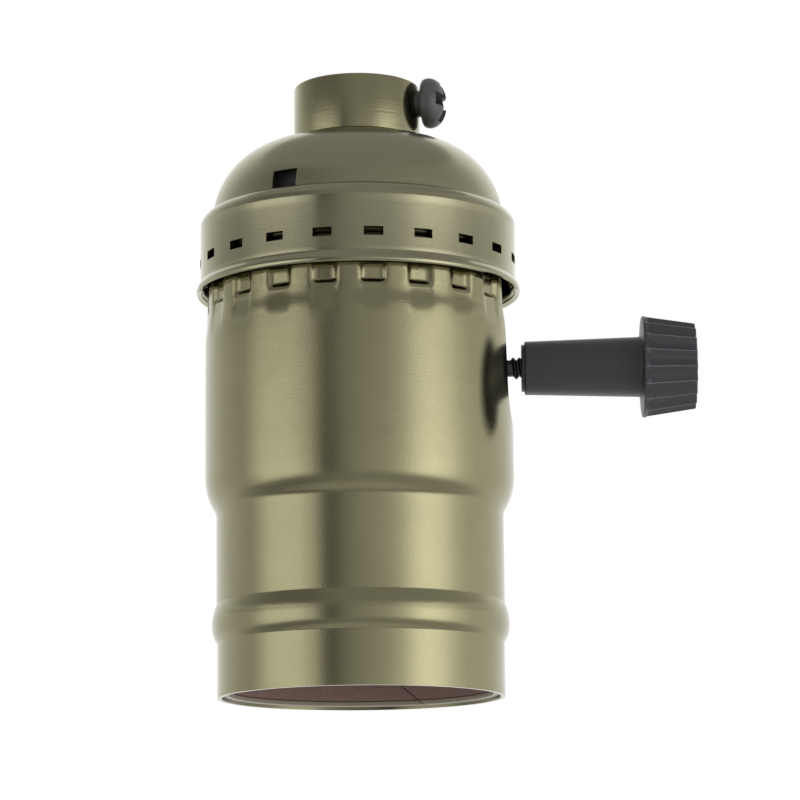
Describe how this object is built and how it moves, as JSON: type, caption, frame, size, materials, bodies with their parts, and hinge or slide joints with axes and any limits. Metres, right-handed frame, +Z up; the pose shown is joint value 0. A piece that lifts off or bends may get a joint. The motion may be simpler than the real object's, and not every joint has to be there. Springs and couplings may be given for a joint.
{
  "type": "lamp holder",
  "caption": "Turn-knob lamp holder: pressed bronze shell and slotted dome cap, threaded neck with set screw, fibre liner, screw shell for the lamp and a rotary switch with a fluted knob",
  "frame": {"origin": "centre of the neck's upper face, on the axis of the threaded neck", "axes": "+Z up along the neck's axis, away from the lamp; +X along the knob's spindle"},
  "size_m": [0.0569, 0.0368, 0.0707],
  "materials": {
    "bronze_shell": "satin olive bronze over pressed sheet",
    "black_steel": "blackened steel",
    "fibre": "pressed fibre sheet",
    "lamp_thread": "bare rolled sheet",
    "black_moulding": "black moulded insulator",
    "brass": "bare brass",
    "steel": "zinc plated steel",
    "rotor_moulding": "pale moulded insulator",
    "knob_moulding": "dark grey moulded plastic"
  },
  "bodies": {
    "holder": {"body_shell": "bronze_shell", "cap": "bronze_shell", "neck_ferrule": "bronze_shell", "cap_liner": "fibre", "body_liner": "fibre", "lamp_screw_shell": "lamp_thread", "insulating_disc": "black_moulding", "switch_housing": "black_moulding", "switch_cover": "black_moulding", "line_leaf": "brass", "lamp_leaf": "brass", "live_terminal": "brass", "neutral_terminal": "brass", "terminal_screws": "steel", "neutral_strap": "brass", "core_rivets": "brass", "contact_rivet": "brass", "centre_contact": "brass", "detent_spring": "steel"},
    "turn_knob": {"knob": "knob_moulding", "spindle": "steel", "spindle_clip": "steel", "switch_rotor": "rotor_moulding", "rotor_contact": "brass"},
    "neck_screw": {"set_screw": "black_steel"}
  },
  "joints": [
    {"name": "knob_turn", "type": "hinge", "parent": "holder", "child": "turn_knob", "pos_m": [0, 0, -0.0329], "axis": [1, 0, 0], "continuous": true, "deforming": ["detent_spring"]},
    {"name": "screw_travel", "type": "slide", "parent": "holder", "child": "neck_screw", "axis": [0.9816, -0.1908, 0], "range_m": [-0.00055, 0.0012]}
  ]
}
